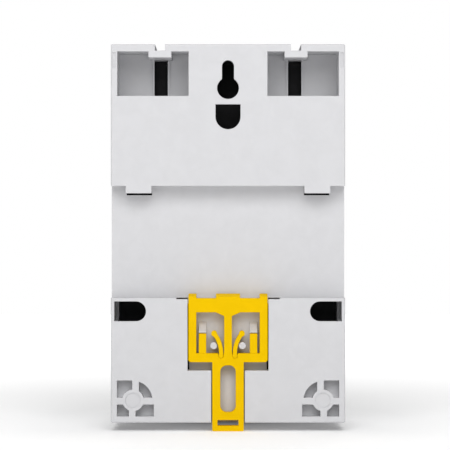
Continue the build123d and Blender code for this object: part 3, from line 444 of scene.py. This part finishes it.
def add_ring(shape, centre, half, radius, width, y):
    """A printed outline: a ring, or a rectangle with rounded corners."""
    inner = (half[0] - width, half[1] - width)
    inner_radius = max(radius - width, 0.05 * MM)
    top = y + INK_HEIGHT
    outer_loops = [loop(centre, half, radius, y), loop(centre, half, radius, top)]
    inner_loops = [loop(centre, inner, inner_radius, top), loop(centre, inner, inner_radius, y)]
    add_stack(shape, outer_loops + inner_loops, hollow=True)


def add_dot(shape, centre, radius, y):
    add_stack(shape, [loop(centre, (radius, radius), radius, h) for h in (y, y + INK_HEIGHT)])


# --- Springs and winding ------------------------------------------------------------------------
STEPS_PER_TURN = 24


def spring(node, turns, wire):
    """Coil spring with closed end turns, in place of its CAD node."""
    low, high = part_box(node)
    centre = (low + high) / 2
    radius = (high.x - low.x - wire) / 2
    free = high.y - low.y - 3 * wire
    points = []
    for i in range(int(turns * STEPS_PER_TURN) + 1):
        turn = i / STEPS_PER_TURN
        rise = wire * min(turn, 1) + wire * max(turn - turns + 1, 0)
        rise += free * min(max(turn - 1, 0), turns - 2) / (turns - 2)
        angle = 2 * math.pi * turn
        points.append(Vector((
            centre.x + radius * math.cos(angle),
            low.y + wire / 2 + rise,
            centre.z + radius * math.sin(angle),
        )))
    shape = bmesh.new()
    add_tube(shape, points, wire / 2)
    piece = finished(f"{node}_wire", shape, SPRING_STEEL)
    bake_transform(piece)
    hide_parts(node)


def coil():
    """Winding with its outer turns showing, and a wrap of yellow tape over them."""
    low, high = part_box("coil_winding")
    half = (high.x, high.z)
    corner = 3.5 * MM
    wire = 0.7 * MM
    shape = bmesh.new()
    for i in range(int((high.y - low.y) / wire)):
        path = loop((0, 0), (half[0] - wire / 2, half[1] - wire / 2), corner, low.y + wire * (i + 0.5))
        add_tube(shape, path, wire / 2, sides=10, closed=True)
    body = (half[0] - wire / 2, half[1] - wire / 2)
    hole = (7.4 * MM, 8.9 * MM)
    core = [loop((0, 0), body, corner, y) for y in (low.y, high.y)]
    core += [loop((0, 0), hole, 0.3 * MM, y) for y in (high.y, low.y)]
    add_stack(shape, core, hollow=True)
    winding = finished("coil_turns", shape, WIRE)
    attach(winding, "case")
    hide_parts("coil_winding")

    wrap = bmesh.new()
    thick = 0.12 * MM
    ends = (low.y + 1.2 * MM, high.y - 1.2 * MM)
    outer = [loop((0, 0), (half[0] + thick, half[1] + thick), corner, y) for y in ends]
    inner = [loop((0, 0), half, corner, y) for y in reversed(ends)]
    add_stack(wrap, outer + inner, hollow=True)
    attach(finished("coil_tape", wrap, TAPE_YELLOW), "case")


for side in ("left", "right"):
    spring(f"return_spring_{side}", 8.0, 0.8 * MM)
for i in range(1, 5):
    spring(f"contact_spring_{i}", 4.5, 0.7 * MM)
coil()


# --- Front details ------------------------------------------------------------------------------
LINE = 0.28 * MM
NOSE_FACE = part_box("front_cover")[1].y
LABEL_LOW, LABEL_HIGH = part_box("label_plate")
PANE_RIM = 1.5 * MM
DOT_ROW_Z = 19.8 * MM
DATA_BAR = 9.0 * MM


def indicator_pane():
    """Clear pane with chamfered edges, set in the rim round the state indicator."""
    cap_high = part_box("indicator_cap")[1]
    half = (cap_high.x + PANE_RIM, cap_high.z + PANE_RIM)
    chamfer = 0.15 * MM
    back = NOSE_FACE - 0.55 * MM
    front = NOSE_FACE - 0.03 * MM
    levels = ((back, chamfer), (back + chamfer, 0), (front - chamfer, 0), (front, chamfer))
    shape = bmesh.new()
    add_stack(shape, [loop((0, 0), (half[0] - c, half[1] - c), 0.6 * MM, y) for y, c in levels])
    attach(finished("indicator_pane", shape, PANE_CLEAR), "case")


def label_print():
    """Generic circuit diagram on the label: a coil, four contacts and a few blank data lines."""
    shape = bmesh.new()
    y = LABEL_HIGH.y
    middle = (LABEL_LOW.z + LABEL_HIGH.z) / 2
    reach = (LABEL_HIGH.z - LABEL_LOW.z) / 2 - 1.1 * MM
    coil_x = LABEL_HIGH.x - 5.5 * MM
    add_ring(shape, (coil_x, middle), (2.4 * MM, 1.3 * MM), 0.2 * MM, LINE, y)
    contacts = [coil_x - (7 + 4.5 * k) * MM for k in range(4)]
    for sign in (-1, 1):
        add_bar(shape, (coil_x, middle + sign * 1.2 * MM), (coil_x, middle + sign * reach), LINE, y)
        for x in contacts:
            add_bar(shape, (x, middle + sign * 1.1 * MM), (x, middle + sign * reach), LINE, y)
    for x in contacts:
        add_bar(shape, (x, middle - 1.1 * MM), (x + 1.3 * MM, middle + 1.0 * MM), LINE, y)
    for k in range(10):
        x = coil_x - (2.6 + 1.65 * k) * MM
        add_bar(shape, (x, middle), (x - 0.9 * MM, middle), LINE * 0.7, y)
    for k, length in enumerate((9.0, 7.5, 9.0, 5.0)):
        z = middle + (3.0 - 2.0 * k) * MM
        left = LABEL_LOW.x + 1.6 * MM + DATA_BAR
        add_bar(shape, (left, z), (left - length * MM, z), 0.55 * MM, y)
    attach(finished("label_print", shape, INK), "case")


def nose_print():
    """Marks by the selector, ring round the lamp, and dots that number the poles."""
    shape = bmesh.new()
    mark_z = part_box("mode_selector")[0].z - 2.6 * MM
    add_ring(shape, (-4.5 * MM, mark_z), (1.0 * MM, 1.0 * MM), 1.0 * MM, LINE, NOSE_FACE)
    add_dot(shape, (0, mark_z), 0.45 * MM, NOSE_FACE)
    add_bar(shape, (4.5 * MM, mark_z - 1.0 * MM), (4.5 * MM, mark_z + 1.0 * MM), LINE, NOSE_FACE)
    lens_low, lens_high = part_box("status_lens")
    lens = (lens_low + lens_high) / 2
    ring = 3.6 * MM
    add_ring(shape, (lens.x, lens.z), (ring, ring), ring, LINE, NOSE_FACE)
    for number, pole in enumerate(reversed(POLES), start=1):
        for k in range(number):
            x = pole + (k - (number - 1) / 2) * 1.3 * MM
            for z in (-DOT_ROW_Z, DOT_ROW_Z):
                add_dot(shape, (x, z), 0.35 * MM, NOSE_FACE)
    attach(finished("nose_print", shape, INK), "case")


indicator_pane()
label_print()
nose_print()


# --- Floor, light and camera --------------------------------------------------------------------
FLOOR_HALF = 0.9
VIEW_DISTANCE = 0.700  # from the camera to the plane of the case's back
EYE_X = -0.95 * MM
EYE_Z = 5.37 * MM
LENS = 177.4
SENSOR = 36.0
SKY = 0.18  # what the white world sheds on the object; the camera sees it at full strength
LIGHTS = [  # name, place, aim, size, power
    ("key_low", (0, -1.741, 0.811), (0, 0, 0), (1.76, 0.67), 11.9),
    ("key_high", (0, -1.427, 1.285), (0, 0, 0), (1.76, 0.67), 18.2),
    ("overhead", (0, -0.042, 1.199), (0, 0, 0), (0.6, 0.6), 3.3),
    ("front_fill", (0, 1.60, 0.95), (0, 0, 0), (1.5, 0.6), 6.5),
]


def make_floor():
    mesh = bpy.data.meshes.new("floor")
    corners = ((-1, -1), (1, -1), (1, 1), (-1, 1))
    ring = [(x * FLOOR_HALF, y * FLOOR_HALF, cad_box[0].z) for x, y in corners]
    mesh.from_pydata(ring, [], [(0, 1, 2, 3)])
    mesh.materials.append(white_floor("floor_white"))
    floor = bpy.data.objects.new("floor", mesh)
    bpy.context.scene.collection.objects.link(floor)


def area_light(name, place, target, size, power):
    data = bpy.data.lights.new(name, "AREA")
    data.shape = "RECTANGLE"
    data.size, data.size_y = size
    data.energy = power
    light = bpy.data.objects.new(name, data)
    light.location = place
    light.rotation_euler = (Vector(target) - Vector(place)).to_track_quat("-Z", "Y").to_euler()
    bpy.context.scene.collection.objects.link(light)


def make_light():
    world = bpy.data.worlds.new("studio")
    world.use_nodes = True
    sky = world.node_tree.nodes["Background"]
    sky.inputs["Color"].default_value = (1.0, 1.0, 1.0, 1.0)
    seen = world.node_tree.nodes.new("ShaderNodeLightPath").outputs["Is Camera Ray"]
    strength = world.node_tree.nodes.new("ShaderNodeMapRange")
    strength.inputs["To Min"].default_value = SKY
    world.node_tree.links.new(seen, strength.inputs["Value"])
    world.node_tree.links.new(strength.outputs["Result"], sky.inputs["Strength"])
    bpy.context.scene.world = world
    for light in LIGHTS:
        area_light(*light)


def make_camera():
    data = bpy.data.cameras.new("camera")
    data.lens = LENS
    data.sensor_width = SENSOR
    data.clip_start = 0.01
    data.clip_end = 50.0
    camera = bpy.data.objects.new("camera", data)
    camera.location = (EYE_X, CASE_BACK - VIEW_DISTANCE, EYE_Z)
    camera.rotation_euler = (math.radians(90), 0, 0)
    bpy.context.scene.collection.objects.link(camera)
    bpy.context.scene.camera = camera
    bpy.context.scene.view_settings.view_transform = "Standard"


make_floor()
make_light()
make_camera()
